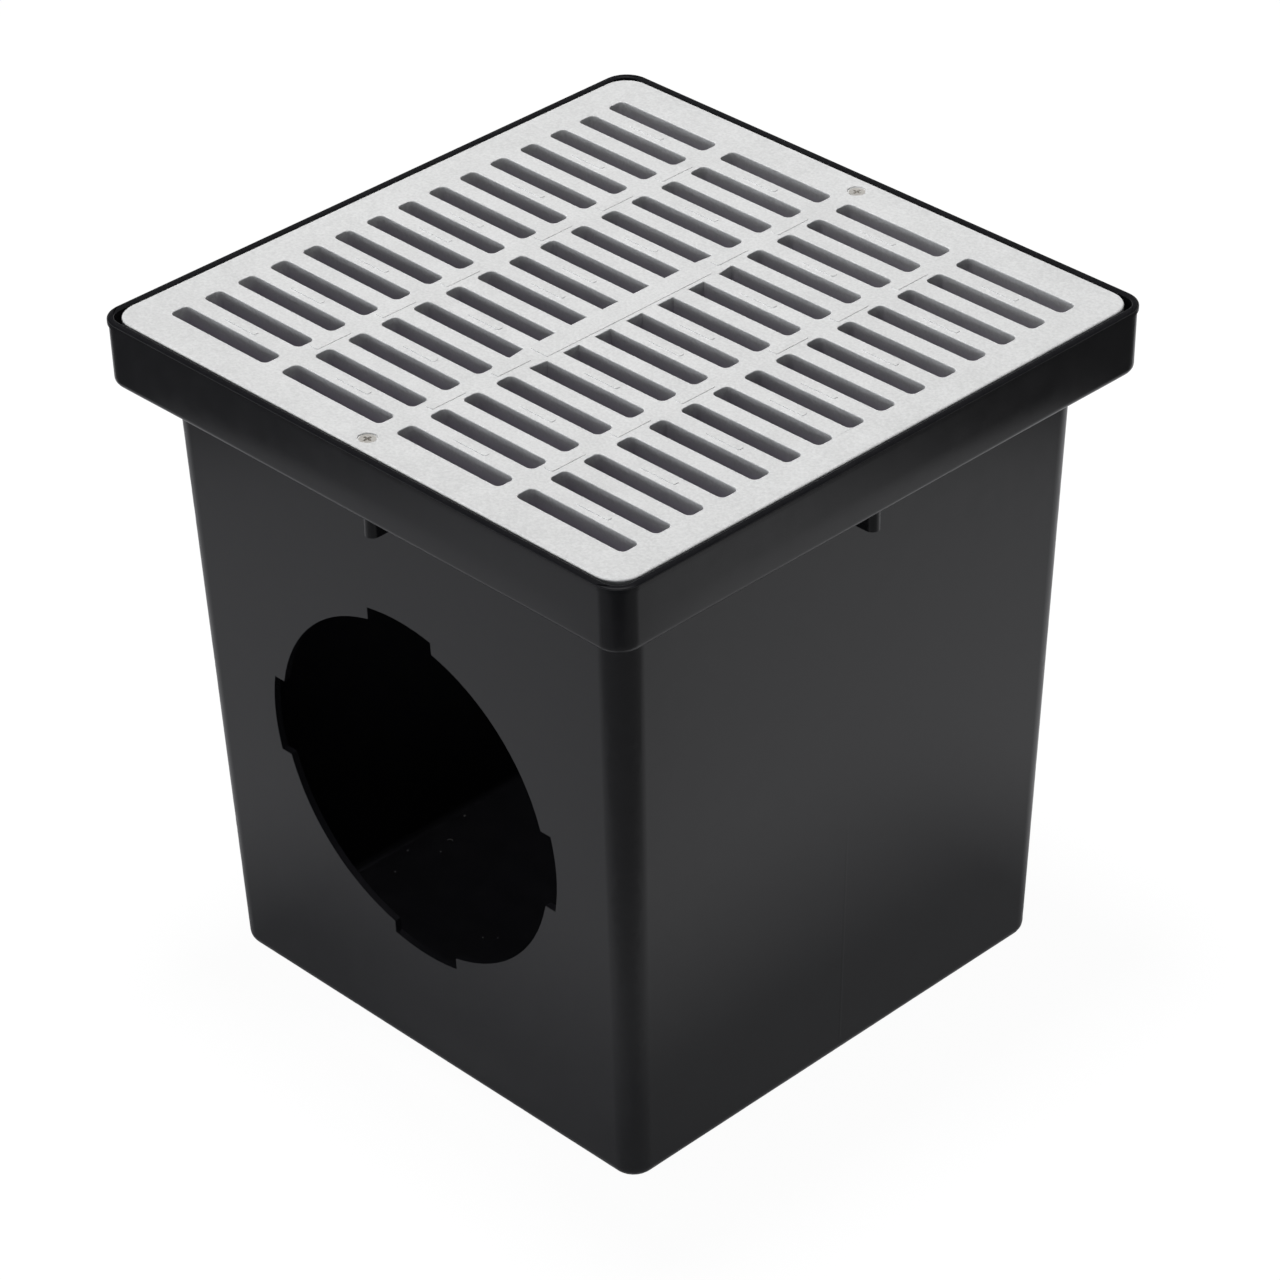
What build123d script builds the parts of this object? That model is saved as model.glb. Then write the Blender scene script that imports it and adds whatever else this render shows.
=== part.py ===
import os
from math import radians, tan

from build123d import *

# Square gully catch basin with a screwed-down slotted grate, in millimetres.
# The origin is at the bottom centre of the basin and Z is up. The slots run
# along X, and the pipe opening is in the wall that faces -Y.

# Grate
grate_width = 301.6
grate_depth = 27.9
grate_corner_radius = 12.2
grate_edge_radius = 0.9
slot_columns = 4
slot_rows = 15
side_margin = 16.65
end_margin = 19.01
web_width = 9.5
slot_width = 9.2
slot_corner_radius = 2.6
slot_draft = 1.2

# Wide middle of the centre web, with a plain raised panel on it
panel_rows = 7
panel_widening = 2.3
panel_end_widening = 1.2
panel_margin = 1.9

# Low raised marks on the bars and the webs, their rows counted in slots from the middle
mark_height = 0.4
bar_mark_length = 19.0
bar_mark_width = 2.9
web_mark_length = 19.0
web_mark_width = 5.0
mark_corner_radius = 0.9
bar_mark_rows = (0.5, 2.5, 4.5, 6.5)
web_mark_rows = (1.5, 3.5, 5.5)
middle_mark_rows = (3.5, 5.5)

# Underside of the grate
plate_thickness = 5.0
skirt_thickness = 3.6
frame_thickness = 3.4
rib_thickness = 2.8
rib_count = 7
grate_boss_radius = 6.4

# Collar that the grate sits in
grate_gap = 0.65
grate_drop = 0.1
collar_wall = 2.5
collar_draft_run = 0.4
collar_corner_radius = 11.4
collar_inner_radius = 7.5
lip_radius = 3.4
rim_overhang = 0.6
rim_height = 2.4
rim_edge_radius = 0.8
shoulder_thickness = 3.2

# Drafted box below the collar, set in by the width of the seat
body_height = 291.6
seat_width = 18.6
wall_run = 10.15
base_corner_radius = 10.7
top_corner_radius = 13.3
wall = 3.2
floor_thickness = 3.6
foot_radius = 6.2
inner_foot_radius = 4.0

# Pipe opening with four bayonet notches
port_radius = 81.2
port_height = 146.0
port_offset = 2.9
notch_width = 38.2
notch_depth = 5.7

# Screws and the posts that take them
screw_length = 41.0
screw_core_radius = 1.5
screw_head_radius = 3.6
screw_head_edge = 0.35
screw_head_angle = 90.0
screw_point_length = 3.0
screw_head_drop = 0.5
drive_width = 1.1
drive_span = 4.2
drive_depth = 1.5
drive_draft = 12.0
head_pocket_clearance = 0.55
head_seat_clearance = 0.05
shank_clearance = 0.75
pilot_clearance = 0.1
pilot_tip_clearance = 2.1
pilot_floor = 1.8
post_radius = 3.4

# Heights and widths that follow
seat_z = body_height + shoulder_thickness
grate_top_z = seat_z + grate_depth
rim_z = grate_top_z + grate_drop
well_width = grate_width + 2 * grate_gap
collar_base_width = well_width + 2 * collar_wall
collar_top_width = collar_base_width + 2 * collar_draft_run
rim_width = collar_top_width + 2 * rim_overhang
body_top_width = well_width - 2 * seat_width + 2 * wall
body_base_width = body_top_width - 2 * wall_run
slot_field_x = grate_width - 2 * side_margin
slot_field_y = grate_width - 2 * end_margin
column_pitch = (slot_field_x + web_width) / slot_columns
slot_length = column_pitch - web_width
slot_pitch = (slot_field_y - slot_width) / (slot_rows - 1)
bar_width = slot_pitch - slot_width
panel_web_width = web_width + 2 * panel_widening
panel_end_web_width = web_width + 2 * panel_end_widening
notch_radius = port_radius + notch_depth
wall_slope = wall_run / body_height
head_cone_height = (screw_head_radius - screw_core_radius) / tan(radians(screw_head_angle / 2))
screw_head_z = grate_top_z - screw_head_drop
head_seat_z = screw_head_z - screw_head_edge
pilot_end_z = screw_head_z - screw_length - pilot_tip_clearance
post_end_z = pilot_end_z - pilot_floor

os.makedirs("parts", exist_ok=True)


def body_width(z):
    """Outside width of the drafted box at height z."""
    return body_base_width + 2 * wall_slope * z


def body_corner(z):
    """Outside corner radius of the drafted box at height z."""
    return base_corner_radius + (top_corner_radius - base_corner_radius) * z / body_height


# The throat carries on up from the inside of the box, and leaves a seat for
# the grate all round; the screws stand midway across that seat
throat_width = body_width(seat_z) - 2 * wall
screw_y = (well_width + throat_width) / 4

# Outside of the box, with its rounded foot
with BuildPart() as box_form:
    with BuildSketch(Plane.XY):
        RectangleRounded(body_base_width, body_base_width, base_corner_radius)
    with BuildSketch(Plane.XY.offset(body_height)):
        RectangleRounded(body_top_width, body_top_width, top_corner_radius)
    loft(ruled=True)
    fillet(box_form.faces().sort_by(Axis.Z)[0].edges(), foot_radius)

# Outside of the collar, a little wider at the top, with a rounded lower lip
with BuildPart() as collar_form:
    with BuildSketch(Plane.XY.offset(body_height)):
        RectangleRounded(collar_base_width, collar_base_width, collar_corner_radius)
    with BuildSketch(Plane.XY.offset(rim_z)):
        RectangleRounded(collar_top_width, collar_top_width, collar_corner_radius)
    loft(ruled=True)
    fillet(collar_form.faces().sort_by(Axis.Z)[0].edges(), lip_radius)

# Rim around the top of the collar
with BuildPart() as rim_form:
    with BuildSketch(Plane.XY.offset(rim_z - rim_height)):
        RectangleRounded(rim_width, rim_width, collar_corner_radius + rim_overhang)
    extrude(amount=rim_height)
    fillet(rim_form.faces().sort_by(Axis.Z)[-1].edges(), rim_edge_radius)

# Inside of the box, from the floor up through the shoulder
with BuildPart() as box_hollow:
    for z in (floor_thickness, seat_z):
        with BuildSketch(Plane.XY.offset(z)):
            inside = body_width(z) - 2 * wall
            RectangleRounded(inside, inside, body_corner(z) - wall)
    loft(ruled=True)
    fillet(box_hollow.faces().sort_by(Axis.Z)[0].edges(), inner_foot_radius)

# Basin: box, collar, rim and four screw posts moulded in one piece
with BuildPart() as basin:
    add(box_form.part)
    add(collar_form.part)
    add(rim_form.part)

    # Posts under the shoulder at the middle of each side
    with BuildSketch(Plane.XY.offset(post_end_z)):
        with PolarLocations(screw_y, 4):
            Circle(post_radius)
        with PolarLocations((screw_y + throat_width / 2) / 2, 4):
            Rectangle(screw_y - throat_width / 2, 2 * post_radius)
    extrude(amount=seat_z - shoulder_thickness / 2 - post_end_z)

    add(box_hollow.part, mode=Mode.SUBTRACT)
    with BuildSketch(Plane.XY.offset(seat_z)):
        RectangleRounded(well_width, well_width, collar_inner_radius)
    extrude(amount=grate_depth + grate_drop, mode=Mode.SUBTRACT)

    # Pilot holes, open at the seat
    with BuildSketch(Plane.XY.offset(seat_z)):
        with PolarLocations(screw_y, 4):
            Circle(screw_core_radius + pilot_clearance)
    extrude(amount=pilot_end_z - seat_z, mode=Mode.SUBTRACT)

    # Pipe opening: a circle and a cross cut off at the notch radius
    port_plane = Plane(
        origin=(port_offset, -body_width(port_height) / 2, port_height),
        x_dir=(1, 0, 0),
        z_dir=(0, -1, -wall_slope),
    )
    with BuildSketch(port_plane):
        with PolarLocations(0, 2, angular_range=180):
            Rectangle(notch_width, 2 * notch_radius + notch_depth)
        Circle(notch_radius, mode=Mode.INTERSECT)
        Circle(port_radius)
    extrude(amount=2 * wall, both=True, mode=Mode.SUBTRACT)
basin.part.label = "basin"
export_step(basin.part, "parts/basin.step")

# Grate: one moulding with tapered slots and a hollow margin
with BuildPart() as grate:
    with BuildSketch(Plane.XY.offset(seat_z)):
        RectangleRounded(grate_width, grate_width, grate_corner_radius)
    extrude(amount=grate_depth)
    fillet(grate.faces().sort_by(Axis.Z)[-1].edges(), grate_edge_radius)

    # Hollow under the margin, between the skirt and the frame of the slots
    frame_x = slot_field_x + 2 * frame_thickness
    frame_y = slot_field_y + 2 * frame_thickness
    skirt_inside = grate_width - 2 * skirt_thickness
    with BuildSketch(Plane.XY.offset(seat_z)):
        RectangleRounded(skirt_inside, skirt_inside, grate_corner_radius - skirt_thickness)
        Rectangle(frame_x, frame_y, mode=Mode.SUBTRACT)
    extrude(amount=grate_depth - plate_thickness, mode=Mode.SUBTRACT)

    # Ribs across the hollow, and bosses for the two screws
    reach_x = (skirt_inside + frame_x) / 2
    reach_y = (skirt_inside + frame_y) / 2
    rib_pitch = slot_field_x / (rib_count - 1)
    with BuildSketch(Plane.XY.offset(seat_z)):
        with GridLocations(rib_pitch, reach_y, rib_count, 2):
            Rectangle(rib_thickness, (skirt_inside - frame_y) / 2 + rib_thickness)
        with GridLocations(reach_x, rib_pitch, 2, rib_count):
            Rectangle((skirt_inside - frame_x) / 2 + rib_thickness, rib_thickness)
        with PolarLocations(screw_y, 2, start_angle=90):
            Circle(grate_boss_radius)
    extrude(amount=grate_depth - plate_thickness)

    # Slots, wider towards the bottom; the middle web is wider where the panel is
    panel_y = panel_rows * slot_pitch - bar_width
    panel_flat_y = (panel_rows - 2) * slot_pitch + bar_width
    with BuildSketch(Plane.XY.offset(grate_top_z)):
        with GridLocations(column_pitch, slot_pitch, slot_columns, slot_rows):
            RectangleRounded(slot_length, slot_width, slot_corner_radius)
        with BuildLine():
            Polyline(
                (panel_end_web_width / 2, panel_y / 2),
                (panel_web_width / 2, panel_flat_y / 2),
                (panel_web_width / 2, -panel_flat_y / 2),
                (panel_end_web_width / 2, -panel_y / 2),
                (-panel_end_web_width / 2, -panel_y / 2),
                (-panel_web_width / 2, -panel_flat_y / 2),
                (-panel_web_width / 2, panel_flat_y / 2),
                (-panel_end_web_width / 2, panel_y / 2),
                close=True,
            )
        make_face(mode=Mode.SUBTRACT)
    extrude(amount=-grate_depth, taper=-slot_draft, mode=Mode.SUBTRACT)

    # Raised marks on alternate bars and webs, and the plain panel on the middle web
    with BuildSketch(Plane.XY.offset(grate_top_z)):
        for row in bar_mark_rows:
            with GridLocations(column_pitch, 2 * row * slot_pitch, slot_columns, 2):
                RectangleRounded(bar_mark_length, bar_mark_width, mark_corner_radius)
        for row in web_mark_rows:
            with GridLocations(2 * column_pitch, 2 * row * slot_pitch, 2, 2):
                RectangleRounded(web_mark_width, web_mark_length, mark_corner_radius)
        for row in middle_mark_rows:
            with GridLocations(0, 2 * row * slot_pitch, 1, 2):
                RectangleRounded(web_mark_width, web_mark_length, mark_corner_radius)
        RectangleRounded(
            panel_web_width - 2 * panel_margin, panel_flat_y - 2 * panel_margin, mark_corner_radius
        )
    extrude(amount=mark_height)

    # Screw holes, countersunk below a round pocket
    with BuildSketch(Plane.XY.offset(grate_top_z)):
        with PolarLocations(screw_y, 2, start_angle=90):
            Circle(screw_head_radius + head_pocket_clearance)
    extrude(amount=-(screw_head_drop + screw_head_edge), mode=Mode.SUBTRACT)
    with Locations((0, -screw_y, head_seat_z), (0, screw_y, head_seat_z)):
        CounterSinkHole(
            radius=screw_core_radius + shank_clearance,
            counter_sink_radius=screw_head_radius + head_seat_clearance,
            depth=grate_depth,
            counter_sink_angle=screw_head_angle,
        )
grate.part.label = "grate"
export_step(grate.part, "parts/grate.step")

# Screws: flat countersunk heads with a cross recess
for name, side in (("screw_front", -1), ("screw_rear", 1)):
    head_plane = Plane(origin=(0, side * screw_y, screw_head_z))
    with BuildPart() as screw:
        with BuildSketch(Plane(head_plane.origin, x_dir=(1, 0, 0), z_dir=(0, -1, 0))):
            with BuildLine():
                Polyline(
                    (0, 0),
                    (screw_head_radius, 0),
                    (screw_head_radius, -screw_head_edge),
                    (screw_core_radius, -screw_head_edge - head_cone_height),
                    (screw_core_radius, screw_point_length - screw_length),
                    (0, -screw_length),
                    close=True,
                )
            make_face()
        revolve(axis=Axis(head_plane.origin, (0, 0, 1)))
        with BuildSketch(head_plane):
            with PolarLocations(0, 2, angular_range=180):
                Rectangle(drive_span, drive_width)
        extrude(amount=-drive_depth, taper=drive_draft, mode=Mode.SUBTRACT)
    screw.part.label = name
    export_step(screw.part, f"parts/{name}.step")
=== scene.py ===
import math

import bmesh
import bpy
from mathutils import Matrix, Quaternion, Vector


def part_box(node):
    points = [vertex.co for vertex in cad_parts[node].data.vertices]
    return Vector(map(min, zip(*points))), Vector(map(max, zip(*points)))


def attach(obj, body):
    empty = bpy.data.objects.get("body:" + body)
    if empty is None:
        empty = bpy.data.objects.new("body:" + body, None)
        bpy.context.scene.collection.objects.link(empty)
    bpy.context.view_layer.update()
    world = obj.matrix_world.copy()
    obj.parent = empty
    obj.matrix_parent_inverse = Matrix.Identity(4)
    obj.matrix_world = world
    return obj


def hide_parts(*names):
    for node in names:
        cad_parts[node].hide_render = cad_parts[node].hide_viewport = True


# Square black gully with a light grey slotted grate and two steel screws.
# Metres, Z up. The slots run along X and the pipe opening faces -Y.

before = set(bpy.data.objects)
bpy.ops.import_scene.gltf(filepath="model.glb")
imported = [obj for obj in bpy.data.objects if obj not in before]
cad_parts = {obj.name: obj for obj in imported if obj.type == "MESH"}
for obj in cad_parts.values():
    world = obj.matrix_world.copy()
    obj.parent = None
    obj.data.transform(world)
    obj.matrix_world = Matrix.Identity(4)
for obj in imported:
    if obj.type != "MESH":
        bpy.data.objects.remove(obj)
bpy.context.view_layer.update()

mm = 0.001
tiny = 0.01 * mm
noiseRange = (0.3, 0.7)     # between which most of a noise's values lie
scene = bpy.context.scene


# Small helpers for nodes and objects

def addNode(tree, kind, **values):
    node = tree.nodes.new(kind)
    for name, value in values.items():
        setattr(node, name, value)
    return node


def newMaterial(name):
    material = bpy.data.materials.new(name)
    material.use_nodes = True
    material.node_tree.nodes.clear()
    return material, material.node_tree


def mathNode(tree, operation, first, second=None):
    node = addNode(tree, "ShaderNodeMath", operation=operation)
    for socket, value in zip(node.inputs, (first, second)):
        if isinstance(value, bpy.types.NodeSocket):
            tree.links.new(value, socket)
        elif value is not None:
            socket.default_value = value
    return node.outputs[0]


def noiseNode(tree, vector, scale, detail=2.0, roughness=0.5):
    node = addNode(tree, "ShaderNodeTexNoise")
    node.inputs["Scale"].default_value = scale
    node.inputs["Detail"].default_value = detail
    node.inputs["Roughness"].default_value = roughness
    tree.links.new(vector, node.inputs["Vector"])
    return node.outputs["Fac"]


def mapNode(tree, value, fromLow, fromHigh, toLow, toHigh, smooth=False):
    node = addNode(tree, "ShaderNodeMapRange")
    if smooth:
        node.interpolation_type = "SMOOTHSTEP"
    node.inputs["From Min"].default_value = fromLow
    node.inputs["From Max"].default_value = fromHigh
    node.inputs["To Min"].default_value = toLow
    node.inputs["To Max"].default_value = toHigh
    tree.links.new(value, node.inputs["Value"])
    return node.outputs["Result"]


def bumpNode(tree, height, distance, strength, normal=None):
    node = addNode(tree, "ShaderNodeBump")
    node.inputs["Strength"].default_value = strength
    node.inputs["Distance"].default_value = distance
    tree.links.new(height, node.inputs["Height"])
    if normal is not None:
        tree.links.new(normal, node.inputs["Normal"])
    return node.outputs["Normal"]


def mixColour(tree, factor, colourA, colourB):
    node = addNode(tree, "ShaderNodeMix", data_type="RGBA")
    tree.links.new(factor, node.inputs["Factor"])
    for socket, colour in ((node.inputs[6], colourA), (node.inputs[7], colourB)):
        if isinstance(colour, bpy.types.NodeSocket):
            tree.links.new(colour, socket)
        else:
            socket.default_value = (*colour, 1)
    return node.outputs[2]


def dotNode(tree, vector, direction):
    node = addNode(tree, "ShaderNodeVectorMath", operation="DOT_PRODUCT")
    node.inputs[1].default_value = direction
    tree.links.new(vector, node.inputs[0])
    return node.outputs["Value"]


def joinShaders(tree, first, second, factor=None):
    # added together, or mixed where there is a factor
    if factor is None:
        node = addNode(tree, "ShaderNodeAddShader")
    else:
        node = addNode(tree, "ShaderNodeMixShader")
        tree.links.new(factor, node.inputs[0])
    tree.links.new(first.outputs[0], node.inputs[-2])
    tree.links.new(second.outputs[0], node.inputs[-1])
    return node


def setOutput(tree, shader, kind="ShaderNodeOutputMaterial"):
    output = addNode(tree, kind)
    tree.links.new(shader.outputs[0], output.inputs[0])


def newObject(name, mesh, material):
    piece = bpy.data.objects.new(name, mesh)
    scene.collection.objects.link(piece)
    mesh.materials.append(material)
    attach(piece, "root")
    return piece


# Camera, matched to the photograph

photoCamera = {
    "place": (1.277533, -1.228800, 1.330175),
    "azimuth": 45.969,      # degrees round from -Y towards +X
    "elevation": 33.474,    # degrees above the horizon
    "roll": -1.224,
    "lens": 137.97,
    "sensor": 36.0,
}


def makeCamera(values):
    data = bpy.data.cameras.new("photoCamera")
    data.lens = values["lens"]
    data.sensor_width = values["sensor"]
    camera = bpy.data.objects.new("photoCamera", data)
    scene.collection.objects.link(camera)
    azimuth, elevation, roll = (math.radians(values[key]) for key in ("azimuth", "elevation", "roll"))
    back = Vector((
        math.sin(azimuth) * math.cos(elevation),
        -math.cos(azimuth) * math.cos(elevation),
        math.sin(elevation),
    ))
    camera.location = values["place"]
    camera.rotation_mode = "QUATERNION"
    camera.rotation_quaternion = back.to_track_quat("Z", "Y") @ Quaternion((0, 0, 1), roll)
    scene.camera = camera


makeCamera(photoCamera)
print("camera placed")


# Light grey moulded plastic of the grate, with painted shade down its slots' walls

grateFinish = {
    "pale": (0.755, 0.755, 0.75),
    "dull": (0.625, 0.625, 0.62),
    # the marks' sides get a much darker colour: painted shade along them
    "markSidesPaintedShadePale": (0.24, 0.24, 0.24),
    "markSidesPaintedShadeDull": (0.216, 0.216, 0.216),
    "slotPaintedShade": (0.64, 0.605, 0.675),    # painted shade, darker and bluer, down the walls of the slots
    "slotPaintedShadeDepths": (8.5 * mm, 2.2 * mm),  # depths between which the painted shade gives way to the face's colour
    "mottleScale": 760.0,
    "mottleHeight": 0.0825 * mm,
    "patchScale": 760.0 / 12,
    "patchShare": 0.3,
    "shadeGain": 0.77,
    "shadeRange": (0.35, 0.65),
    "grainScale": 1300.0,
    "grainHeight": 0.055 * mm,
    "roughness": (0.42, 0.58),
}


def makeGratePlastic(name, pale, dull, topZ, values):
    material, tree = newMaterial(name)
    spot = addNode(tree, "ShaderNodeTexCoord").outputs["Object"]
    mottle = noiseNode(tree, spot, values["mottleScale"], detail=3.0, roughness=0.6)
    grain = noiseNode(tree, spot, values["grainScale"], detail=2.0, roughness=0.6)
    patch = noiseNode(tree, spot, values["patchScale"])
    mottleAndPatch = mathNode(tree, "ADD", mottle, mathNode(tree, "MULTIPLY", patch, values["patchShare"]))
    shade = mathNode(tree, "MULTIPLY", mottleAndPatch, values["shadeGain"])
    shader = addNode(tree, "ShaderNodeBsdfPrincipled")
    face = mixColour(tree, mapNode(tree, shade, *values["shadeRange"], 0, 1), dull, pale)
    height = addNode(tree, "ShaderNodeSeparateXYZ")
    tree.links.new(spot, height.inputs[0])
    # painted shade: the colour turns darker and bluer down the slots' walls, by depth below the top
    deep, shallow = values["slotPaintedShadeDepths"]
    rise = mapNode(tree, height.outputs["Z"], topZ - deep, topZ - shallow, 0, 1, smooth=True)
    tree.links.new(mixColour(tree, rise, values["slotPaintedShade"], face), shader.inputs["Base Color"])
    tree.links.new(mapNode(tree, mottle, *noiseRange, *values["roughness"]), shader.inputs["Roughness"])
    coarse = bumpNode(tree, mottle, values["mottleHeight"], strength=0.7)
    fine = bumpNode(tree, grain, values["grainHeight"], strength=0.8, normal=coarse)
    tree.links.new(fine, shader.inputs["Normal"])
    setOutput(tree, shader)
    return material


# Black moulded plastic of the basin

basinFinish = {
    "black": (0.0085, 0.0085, 0.0100),
    "worn": (0.0110, 0.0110, 0.0125),
    "grainScale": 2600.0,
    "grainHeight": 0.006 * mm,
    "waveScale": 26.0,
    "waveHeight": 0.10 * mm,
    "smearScale": 90.0,
    "smearRange": (0.45, 0.75),
    "roughness": (0.18, 0.23),
}


def makeBasinPlastic(values):
    material, tree = newMaterial("basinBlackPlastic")
    spot = addNode(tree, "ShaderNodeTexCoord").outputs["Object"]
    grain = noiseNode(tree, spot, values["grainScale"])
    wave = noiseNode(tree, spot, values["waveScale"], detail=1.0)
    smear = noiseNode(tree, spot, values["smearScale"], detail=4.0, roughness=0.6)
    shader = addNode(tree, "ShaderNodeBsdfPrincipled")
    wear = mapNode(tree, smear, *values["smearRange"], 0, 1)
    tree.links.new(mixColour(tree, wear, values["black"], values["worn"]), shader.inputs["Base Color"])
    tree.links.new(mapNode(tree, smear, *noiseRange, *values["roughness"]), shader.inputs["Roughness"])
    waved = bumpNode(tree, wave, values["waveHeight"], strength=0.5)
    fine = bumpNode(tree, grain, values["grainHeight"], strength=0.6, normal=waved)
    tree.links.new(fine, shader.inputs["Normal"])
    setOutput(tree, shader)
    return material


# Bright plated steel of the screws

screwFinish = {
    "bright": (0.80, 0.78, 0.74),
    "dull": (0.52, 0.49, 0.45),
    "metal": 0.35,      # the plating is dull and hazy
    "stainScale": 900.0,
    "grainHeight": 0.01 * mm,
    "roughness": (0.40, 0.55),
}


def makeScrewSteel(values):
    material, tree = newMaterial("screwPlatedSteel")
    spot = addNode(tree, "ShaderNodeTexCoord").outputs["Object"]
    stain = noiseNode(tree, spot, values["stainScale"], detail=3.0, roughness=0.6)
    shader = addNode(tree, "ShaderNodeBsdfPrincipled")
    shader.inputs["Metallic"].default_value = values["metal"]
    tree.links.new(mixColour(tree, stain, values["dull"], values["bright"]), shader.inputs["Base Color"])
    tree.links.new(mapNode(tree, stain, *noiseRange, *values["roughness"]), shader.inputs["Roughness"])
    grained = bumpNode(tree, stain, values["grainHeight"], strength=0.6)
    tree.links.new(grained, shader.inputs["Normal"])
    setOutput(tree, shader)
    return material


basinPlastic = makeBasinPlastic(basinFinish)
screwSteel = makeScrewSteel(screwFinish)
print("basin's and screws' materials made")


# The mouldings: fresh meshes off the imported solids, with their hard edges eased

def freshMesh(nodeName, flatAngle=0.4):
    bm = bmesh.new()
    bm.from_mesh(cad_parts[nodeName].data)
    bmesh.ops.remove_doubles(bm, verts=bm.verts, dist=0.002 * mm)
    bmesh.ops.dissolve_limit(bm, angle_limit=math.radians(flatAngle), verts=bm.verts, edges=bm.edges)
    bm.normal_update()
    return bm


def easeEdges(bm, radius, segments, wanted):
    edges = [edge for edge in bm.edges if len(edge.link_faces) == 2 and wanted(edge)]
    bmesh.ops.bevel(
        bm, geom=edges, offset=radius, segments=segments, profile=0.5, affect="EDGES", clamp_overlap=False,
    )
    bm.normal_update()
    return len(edges)


def finishMesh(bm, name, sharpAngle=38):
    mesh = bpy.data.meshes.new(name)
    bm.to_mesh(mesh)
    bm.free()
    for attribute in ("custom_normal", "sharp_edge", "sharp_face"):
        if attribute in mesh.attributes:
            mesh.attributes.remove(mesh.attributes[attribute])
    mesh.materials.clear()
    mesh.polygons.foreach_set("use_smooth", [True] * len(mesh.polygons))
    mesh.set_sharp_from_angle(angle=math.radians(sharpAngle))
    return mesh


def flattenShading(piece):
    weighted = piece.modifiers.new("weightedNormals", "WEIGHTED_NORMAL")
    weighted.mode = "FACE_AREA"
    weighted.weight = 100
    weighted.keep_sharp = True


def sliceThrough(bm, places, axis, wanted=lambda face: True):
    normal = Vector((axis == 0, axis == 1, axis == 2))
    for place in places:
        faces = [face for face in bm.faces if wanted(face)]
        edges = {edge for face in faces for edge in face.edges}
        verts = {vert for face in faces for vert in face.verts}
        bmesh.ops.bisect_plane(
            bm, geom=faces + list(edges) + list(verts), dist=0.001 * mm,
            plane_co=normal * place, plane_no=normal,
        )
    bm.normal_update()


def atHeight(edge, height):
    return all(abs(vert.co.z - height) < tiny for vert in edge.verts)


def isHard(edge, hardAngle):
    return edge.calc_face_angle(0) > math.radians(hardAngle)


def evenPlaces(count, pitch):
    return [(index - (count - 1) / 2) * pitch for index in range(count)]


# Grate, with its slots' edges eased, its wear, and painted shade on its marks' sides

grateEdges = {
    "slotRadius": 0.45 * mm,
    "markRadius": 0.15 * mm,
    "underRadius": 0.35 * mm,
    "hardAngle": 55,            # degrees, above which an edge is eased
    "markHeight": 0.4 * mm,
    "columns": 4,
    "columnPitch": 69.45 * mm,
    "rows": 15,
    "rowPitch": 18.17 * mm,
    "dish": 0.7 * mm,           # how far the middle has sunk below the margin
    "dishReach": 148 * mm,
    "marginFrom": 134 * mm,     # the margin curls between these two
    "marginTo": 149 * mm,
    "marginLift": 0.33 * mm,
    "marginPull": 0.25 * mm,
}


def warpPoint(vert, footZ, topZ, values):
    # the middle has sunk a little, and the margin has curled up and in
    acrossX = max(0.0, 1 - (vert.co.x / values["dishReach"]) ** 2)
    acrossY = max(0.0, 1 - (vert.co.y / values["dishReach"]) ** 2)
    outward = max(abs(vert.co.x), abs(vert.co.y)) - values["marginFrom"]
    curl = min(1.0, max(0.0, outward / (values["marginTo"] - values["marginFrom"])))
    curl *= min(1.0, (vert.co.z - footZ) / (topZ - footZ))
    vert.co.z += values["marginLift"] * curl - values["dish"] * acrossX * acrossY
    vert.co.x *= 1 - values["marginPull"] / values["marginTo"] * curl
    vert.co.y *= 1 - values["marginPull"] / values["marginTo"] * curl


def makeGrate(values):
    low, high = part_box("grate")
    topZ = high.z - values["markHeight"]
    pale, dull = grateFinish["pale"], grateFinish["dull"]
    facePlastic = makeGratePlastic("grateLightGreyPlastic", pale, dull, topZ, grateFinish)
    # a darker copy for the marks' sides: painted shade
    pale, dull = grateFinish["markSidesPaintedShadePale"], grateFinish["markSidesPaintedShadeDull"]
    markSidePaintedShade = makeGratePlastic("grateMarkSidesPaintedShade", pale, dull, topZ, grateFinish)
    bm = freshMesh("grate")
    # cut through the middle of every slot, so the top has points to sink with the dish
    sliceThrough(bm, evenPlaces(values["columns"], values["columnPitch"]), 0)
    sliceThrough(bm, evenPlaces(values["rows"], values["rowPitch"]), 1)

    def easeAt(height, radius, segments):
        return easeEdges(
            bm, radius, segments,
            lambda edge: atHeight(edge, height) and isHard(edge, values["hardAngle"]) and edge.is_convex,
        )

    marks = easeAt(high.z, values["markRadius"], segments=3)
    slots = easeAt(topZ, values["slotRadius"], segments=3)
    under = easeAt(low.z, values["underRadius"], segments=2)
    for face in bm.faces:
        middle = face.calc_center_median().z
        face.material_index = int(topZ + tiny < middle < high.z - tiny)     # 1 on the marks' sides, which carry painted shade
    for vert in bm.verts:
        warpPoint(vert, low.z, topZ, values)
    piece = newObject("slottedGrate", finishMesh(bm, "slottedGrate"), facePlastic)
    piece.data.materials.append(markSidePaintedShade)
    flattenShading(piece)
    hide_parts("grate")
    print("grate edges eased:", marks, "on marks,", slots, "on slots,", under, "underneath")


# Basin, with its rim and its opening's edge eased, and the bow of its collar

basinWall = {
    "footHalf": 125.9 * mm,     # from the middle to the outside of a wall, at the bottom
    "slope": 0.03481,           # how much a wall leans out, for each unit of height
    "floor": 3.6 * mm,
}

basinEdges = {
    "rimRadius": 0.6 * mm,
    "portEdge": 0.3 * mm,
    "portCentre": (2.9 * mm, 146 * mm),
    "portReach": (80 * mm, 88.5 * mm),      # from the opening's centre to its edge
    "wallSlack": 0.03 * mm,
    "hardAngle": 50,
    "quarterCut": 0.001 * mm,               # just off the middle
}

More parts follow.
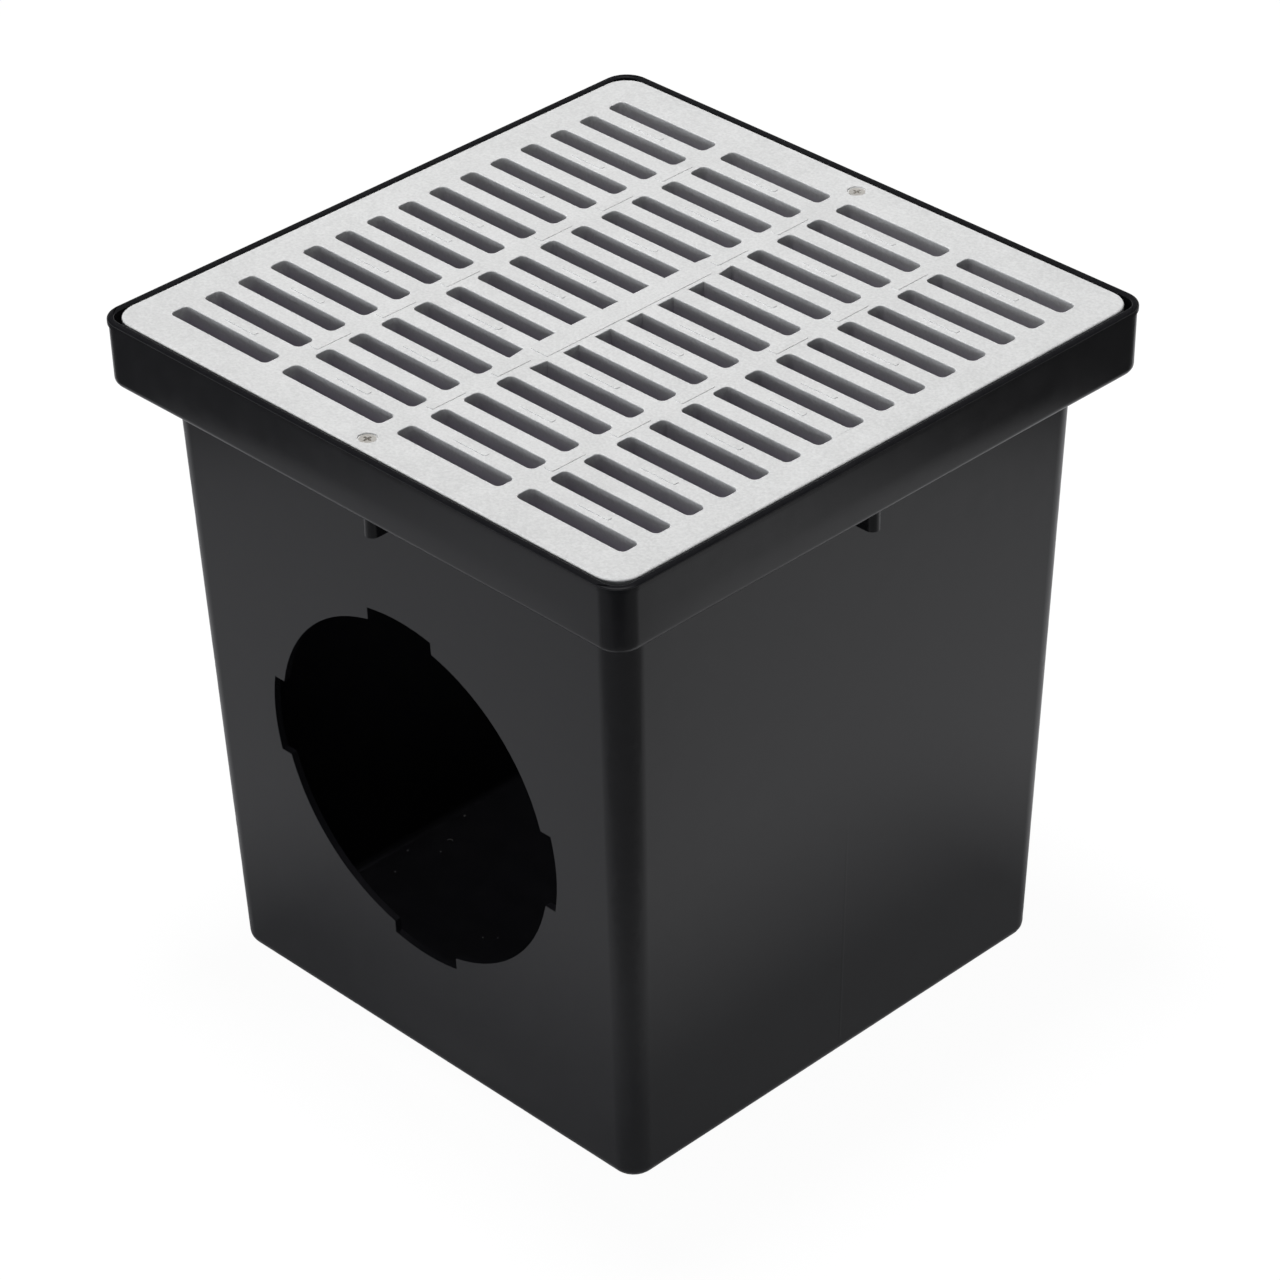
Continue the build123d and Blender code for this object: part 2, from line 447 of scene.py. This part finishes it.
collarBow = {
    "bottom": 291.6 * mm,
    "lipTop": 295.0 * mm,
    "lipSlack": 0.3 * mm,
    "bowTop": 306.0 * mm,           # below this height the collar's walls bow in
    "inward": 0.32 * mm,            # at the lip
    "strips": 8,
    "fadeFrom": 98 * mm,            # along a wall, and the bow is gone at its corners
    "fadeCuts": 5,
    "facing": 0.5,                  # least share of a wall face's normal that points outwards
    "leaning": 0.3,                 # and most that points up or down
    "cornerCentre": 142.5 * mm,     # of the outer corners, from the middle
    "lipInside": 8.1 * mm,          # from there to where the lip meets the underside
    "wallOutside": 10.6 * mm,       # and to the outer surface of the wall, less a little
}


def wallReach(height):
    return basinWall["footHalf"] + basinWall["slope"] * height


def onPortEdge(edge, values):
    for vert in edge.verts:
        away = math.hypot(vert.co.x - values["portCentre"][0], vert.co.z - values["portCentre"][1])
        inReach = values["portReach"][0] < away < values["portReach"][1]
        if not inReach or abs(vert.co.y + wallReach(vert.co.z)) > values["wallSlack"]:
            return False
    return True


def pastCorner(point, values):
    # from the square through the centres of the corners out to the point
    return Vector((
        math.copysign(max(0.0, abs(point.x) - values["cornerCentre"]), point.x),
        math.copysign(max(0.0, abs(point.y) - values["cornerCentre"]), point.y),
        0.0,
    ))


def onCollarWall(face, values):
    centre = face.calc_center_median()
    outward = (face.normal.x * centre.x + face.normal.y * centre.y) / math.hypot(centre.x, centre.y)
    upright = abs(face.normal.z) < values["leaning"]
    return outward > values["facing"] and upright and centre.z > values["lipTop"]


def onCollarLip(face, values):
    centre = face.calc_center_median()
    inHeight = values["bottom"] + tiny < centre.z < values["lipTop"]
    return inHeight and pastCorner(centre, values).length > values["lipInside"]


def bowCollar(bm, values):
    run = values["bowTop"] - values["lipTop"]
    heights = [values["lipTop"] + run * step / values["strips"] for step in range(1, values["strips"] + 1)]
    sliceThrough(bm, heights, 2, lambda face: onCollarWall(face, values))
    fadeRun = values["cornerCentre"] - values["fadeFrom"]
    cuts = [values["fadeFrom"] + fadeRun * step / values["fadeCuts"] for step in range(values["fadeCuts"])]
    for axis in (0, 1):
        sliceThrough(
            bm, cuts + [-cut for cut in cuts], axis,
            lambda face: onCollarWall(face, values) or onCollarLip(face, values),
        )
    for vert in bm.verts:
        if not values["bottom"] - tiny < vert.co.z < values["bowTop"]:
            continue
        across = pastCorner(vert.co, values)
        inLip = vert.co.z < values["lipTop"] - values["lipSlack"]
        if across.length > values["lipInside" if inLip else "wallOutside"]:
            share = min(1.0, (values["bowTop"] - vert.co.z) / run)
            along = (min(abs(vert.co.x), abs(vert.co.y)) - values["fadeFrom"]) / fadeRun
            along = min(1.0, max(0.0, along))
            fade = 1 - along * along * (3 - 2 * along)
            vert.co -= across.normalized() * values["inward"] * share ** 2 * fade
    bm.normal_update()


def makeBasin(values):
    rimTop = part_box("basin")[1].z
    bm = freshMesh("basin", flatAngle=0.2)
    # cut in quarters, so no face runs all the way round the rim
    sliceThrough(bm, [values["quarterCut"]], 0)
    sliceThrough(bm, [values["quarterCut"]], 1)
    bowCollar(bm, collarBow)
    rim = easeEdges(
        bm, values["rimRadius"], segments=3,
        wanted=lambda edge: atHeight(edge, rimTop) and isHard(edge, values["hardAngle"]),
    )
    port = easeEdges(
        bm, values["portEdge"], segments=2,
        wanted=lambda edge: onPortEdge(edge, values) and isHard(edge, values["hardAngle"]) and edge.is_convex,
    )
    piece = newObject("gullyBasin", finishMesh(bm, "gullyBasin"), basinPlastic)
    flattenShading(piece)
    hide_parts("basin")
    print("basin edges eased:", rim, "on the rim,", port, "round the opening")


# Fine line left by the mould on the +X wall, and chips lying in the basin

mouldLine = {
    "y": -0.4 * mm,
    "from": 7 * mm,
    "to": 130 * mm,
    "width": 1.8 * mm,
    "proud": 0.12 * mm,
    "root": 0.02 * mm,      # how deep its sides start in the wall
    "riseRun": 3 * mm,
    "fadeRun": 20 * mm,
}

chipFinish = {
    "pale": (0.26, 0.26, 0.25),
    "dull": (0.10, 0.10, 0.10),
    "speckScale": 2200.0,
    "grainHeight": 0.02 * mm,
    "roughness": (0.35, 0.6),
}

chipShape = {
    "steps": 6,
    "thickness": 0.12 * mm,
    "clear": 0.02 * mm,     # between the floor and the ends
    "bend": 0.25,           # sideways, for each unit of length
    "arch": 0.18,           # and upwards
    "tip": 0.35,            # width of the ends, for each unit of width
}

chips = [
    # x, y, length, width in mm, and turn in degrees
    (-108.6, -13.6, 3.0, 0.35, 25),
    (-117.0, -32.3, 0.6, 0.40, 70),
    (-105.3, -22.4, 0.7, 0.45, 110),
    (-109.0, -47.6, 0.6, 0.40, 15),
    (-43.3, -54.0, 0.7, 0.40, 60),
    (-38.4, -49.3, 0.6, 0.35, 130),
    (-118.0, 4.6, 1.3, 0.50, 95),
    (-82.0, -74.0, 1.4, 0.40, 50),
]


def skinRings(bm, rings):
    loops = [[bm.verts.new(point) for point in ring] for ring in rings]
    faces = []
    for lower, upper in zip(loops, loops[1:]):
        for index in range(len(lower)):
            following = (index + 1) % len(lower)
            faces.append(bm.faces.new((lower[index], lower[following], upper[following], upper[index])))
    faces.append(bm.faces.new(loops[0]))
    faces.append(bm.faces.new(loops[-1]))
    bmesh.ops.recalc_face_normals(bm, faces=faces)


def makeMouldLine(values):
    bm = bmesh.new()
    rings = []
    for height, proud in (
        (values["from"], 0),
        (values["from"] + values["riseRun"], values["proud"]),
        (values["to"] - values["fadeRun"], values["proud"]),
        (values["to"], 0),
    ):
        reach = wallReach(height)
        rings.append([
            (reach - values["root"], values["y"] - values["width"] / 2, height),
            (reach + proud, values["y"], height),
            (reach - values["root"], values["y"] + values["width"] / 2, height),
        ])
    skinRings(bm, rings)
    newObject("mouldLine", finishMesh(bm, "mouldLine", sharpAngle=80), basinPlastic)


def makeChipPlastic(values):
    material, tree = newMaterial("chipGreyPlastic")
    spot = addNode(tree, "ShaderNodeTexCoord").outputs["Object"]
    speck = noiseNode(tree, spot, values["speckScale"])
    shader = addNode(tree, "ShaderNodeBsdfPrincipled")
    tree.links.new(mixColour(tree, speck, values["dull"], values["pale"]), shader.inputs["Base Color"])
    tree.links.new(mapNode(tree, speck, *noiseRange, *values["roughness"]), shader.inputs["Roughness"])
    grained = bumpNode(tree, speck, values["grainHeight"], strength=0.6)
    tree.links.new(grained, shader.inputs["Normal"])
    setOutput(tree, shader)
    return material


def makeChips(places, values):
    bm = bmesh.new()
    up = Vector((0, 0, values["thickness"] / 2))
    for x, y, length, width, turn in places:
        along = Vector((math.cos(math.radians(turn)), math.sin(math.radians(turn)), 0))
        side = Vector((-along.y, along.x, 0))
        rings = []
        for step in range(values["steps"] + 1):
            part = step / values["steps"] - 0.5
            curl = math.cos(part * math.pi)     # none at the ends, most in the middle
            centre = Vector((x, y, 0)) + along * part * length + side * curl * length * values["bend"]
            centre *= mm
            centre.z = basinWall["floor"] + values["clear"] + up.z + curl * length * values["arch"] * mm
            half = side * width / 2 * mm * (values["tip"] + (1 - values["tip"]) * curl)
            rings.append([centre - half - up, centre + half - up, centre + half + up, centre - half + up])
        skinRings(bm, rings)
    mesh = finishMesh(bm, "chipsInBasin", sharpAngle=30)
    newObject("chipsInBasin", mesh, makeChipPlastic(chipFinish))


makeGrate(grateEdges)
makeBasin(basinEdges)
makeMouldLine(mouldLine)
makeChips(chips, chipShape)
for name in ("screw_front", "screw_rear"):
    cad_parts[name].material_slots[0].material = screwSteel
print("mouldings, mould line, chips and screws dressed")


# Stage: a table that the camera sees as white; to all other rays it shows painted pools of light, painted
# shadow and a painted glow

table = {
    "size": 12.0,
    # for all but camera rays: a painted pool of light beside the gully, brighter on the right, a painted
    # shadow in front, and painted shade beyond and further off
    "pale": (0.41, 0.41, 0.42),
    "rightPaintedLight": (0.57, 0.57, 0.58),
    "frontPaintedShadow": (0.19, 0.19, 0.19),
    "beyond": (0.075, 0.075, 0.075),
    "farPaintedShade": (0.025, 0.025, 0.025),
    "halfWidth": 0.59,      # of the painted pool of light, to the left and right of the gully
    "edge": 0.04,
    "middleEdge": 0.1,      # between the left and the right
    "front": 0.26,          # where the painted shadow in front gives way to them, towards the camera
    "frontEdge": 0.12,
    "farFront": 0.625,      # and where the far painted shade begins
    "glow": 0.965,          # as the camera sees it
    "shadowShare": 0.08,
    "drop": 0.05 * mm,      # below the gully's foot
    "paintedFillGlow": 0.36,           # strength of a painted glow that lifts the gully's own shadow on it, for all but camera rays
}


def zoneMask(tree, distance, middle, halfBlend, before, after):
    return mapNode(tree, distance, middle - halfBlend, middle + halfBlend, before, after, smooth=True)


def makeTablePaintedLight(tree, values, azimuth):
    # painted light and shade on the table, in zones by place round the gully
    spot = addNode(tree, "ShaderNodeNewGeometry").outputs["Position"]
    across = dotNode(tree, spot, (math.cos(azimuth), math.sin(azimuth), 0))
    ahead = dotNode(tree, spot, (math.sin(azimuth), -math.cos(azimuth), 0))
    aside = mathNode(tree, "ABSOLUTE", across)
    sideMask = zoneMask(tree, aside, values["halfWidth"], values["edge"], 1, 0)
    frontMask = zoneMask(tree, ahead, values["front"], values["frontEdge"], 1, 0)
    farMask = zoneMask(tree, ahead, values["farFront"], values["edge"], 0, 1)
    rightMask = zoneMask(tree, across, 0, values["middleEdge"], 0, 1)
    besideColour = mixColour(tree, rightMask, values["pale"], values["rightPaintedLight"])
    nearColour = mixColour(tree, frontMask, values["frontPaintedShadow"], besideColour)
    nearColour = mixColour(tree, sideMask, values["beyond"], nearColour)
    return mixColour(tree, farMask, nearColour, values["farPaintedShade"])


def makeTable(values, azimuth):
    half = values["size"] / 2
    corners = [(-half, -half, 0), (half, -half, 0), (half, half, 0), (-half, half, 0)]
    mesh = bpy.data.meshes.new("table")
    mesh.from_pydata(corners, [], [(0, 1, 2, 3)])
    floor = bpy.data.objects.new("table", mesh)
    scene.collection.objects.link(floor)
    floor.location.z = -values["drop"]
    material, tree = newMaterial("tablePaintedLight")
    colour = makeTablePaintedLight(tree, values, azimuth)
    diffuse = addNode(tree, "ShaderNodeBsdfDiffuse")
    tree.links.new(colour, diffuse.inputs[0])
    # painted glow: the table's zone colour emitted, which the camera doesn't see
    paintedFillGlow = addNode(tree, "ShaderNodeEmission")
    paintedFillGlow.inputs["Strength"].default_value = values["paintedFillGlow"]
    tree.links.new(colour, paintedFillGlow.inputs["Color"])
    seenLit = addNode(tree, "ShaderNodeBsdfDiffuse")
    seenLit.inputs[0].default_value = (*[values["shadowShare"]] * 3, 1)
    seenGlow = addNode(tree, "ShaderNodeEmission")
    seenGlow.inputs["Strength"].default_value = values["glow"]
    litWithPaintedGlow = joinShaders(tree, diffuse, paintedFillGlow)
    seen = joinShaders(tree, seenLit, seenGlow)
    cameraRay = addNode(tree, "ShaderNodeLightPath").outputs["Is Camera Ray"]
    setOutput(tree, joinShaders(tree, litWithPaintedGlow, seen, cameraRay))
    mesh.materials.append(material)


makeTable(table, math.radians(photoCamera["azimuth"]))


# World and lamps

room = {
    "seen": (1.0, 1.0, 1.0),
    "shade": (0.93, 0.96, 1.0),
    "overhead": 0.10,               # soft light from all round
    "lowGlow": 3.4,                 # low light from the side that the pipe opening faces
    "lowFrom": -12.0,               # degrees round from -Y towards +X
    "lowSpread": (0.1, 0.8),        # cosines of the turn from there, at its end and at full strength
    "lowTop": 0.40,                 # sine of the height at which it ends
    "behind": 0.95,                 # what gloss sees beyond the gully, near the table
    "behindTop": (0.10, 0.34),      # sines of the heights between which that fades
    "above": 0.05,                  # what gloss sees higher up
    "zenith": 1.2,                  # and straight overhead
    "zenithFrom": (0.85, 0.98),
}


def makeWorld(values):
    world = bpy.data.worlds.new("studio")
    scene.world = world
    world.use_nodes = True
    tree = world.node_tree
    tree.nodes.clear()
    path = addNode(tree, "ShaderNodeLightPath")
    ray = addNode(tree, "ShaderNodeTexCoord").outputs["Generated"]
    lowFrom = math.radians(values["lowFrom"])
    towards = dotNode(tree, ray, (math.sin(lowFrom), -math.cos(lowFrom), 0))
    height = addNode(tree, "ShaderNodeSeparateXYZ")
    tree.links.new(ray, height.inputs[0])
    rise = height.outputs["Z"]
    frontal = mapNode(tree, towards, *values["lowSpread"], 0, 1, smooth=True)
    low = mapNode(tree, rise, 0.0, values["lowTop"], values["lowGlow"], 0, smooth=True)
    ambientStrength = mathNode(tree, "ADD", mathNode(tree, "MULTIPLY", frontal, low), values["overhead"])
    ambient = addNode(tree, "ShaderNodeBackground")
    ambient.inputs["Color"].default_value = (*values["shade"], 1)
    tree.links.new(ambientStrength, ambient.inputs["Strength"])
    lowGloss = mapNode(tree, rise, *values["behindTop"], values["behind"], values["above"], smooth=True)
    highGloss = mapNode(tree, rise, *values["zenithFrom"], 0, values["zenith"], smooth=True)
    gloss = addNode(tree, "ShaderNodeBackground")
    tree.links.new(mathNode(tree, "ADD", lowGloss, highGloss), gloss.inputs["Strength"])
    seen = addNode(tree, "ShaderNodeBackground")
    seen.inputs["Color"].default_value = (*values["seen"], 1)
    unseen = joinShaders(tree, ambient, gloss, path.outputs["Is Glossy Ray"])
    shown = joinShaders(tree, unseen, seen, path.outputs["Is Camera Ray"])
    setOutput(tree, shown, "ShaderNodeOutputWorld")


lamps = {
    # name: place, what it faces, width, depth, watts
    "topSoftbox": ((-0.11, 0.01, 1.75), (0, 0, 0.3), 0.4, 0.4, 19.9),
}


def makeLamps(values):
    for name, (place, target, width, depth, watts) in values.items():
        data = bpy.data.lights.new(name, "AREA")
        data.shape = "RECTANGLE"
        data.size, data.size_y = width, depth
        data.energy = watts
        lamp = bpy.data.objects.new(name, data)
        scene.collection.objects.link(lamp)
        lamp.visible_glossy = False     # gloss shows the room and the table alone
        lamp.location = place
        lamp.rotation_mode = "QUATERNION"
        lamp.rotation_quaternion = (Vector(target) - Vector(place)).to_track_quat("-Z", "Y")


makeWorld(room)
makeLamps(lamps)
scene.view_settings.view_transform = "Standard"
print("stage and lamps made")
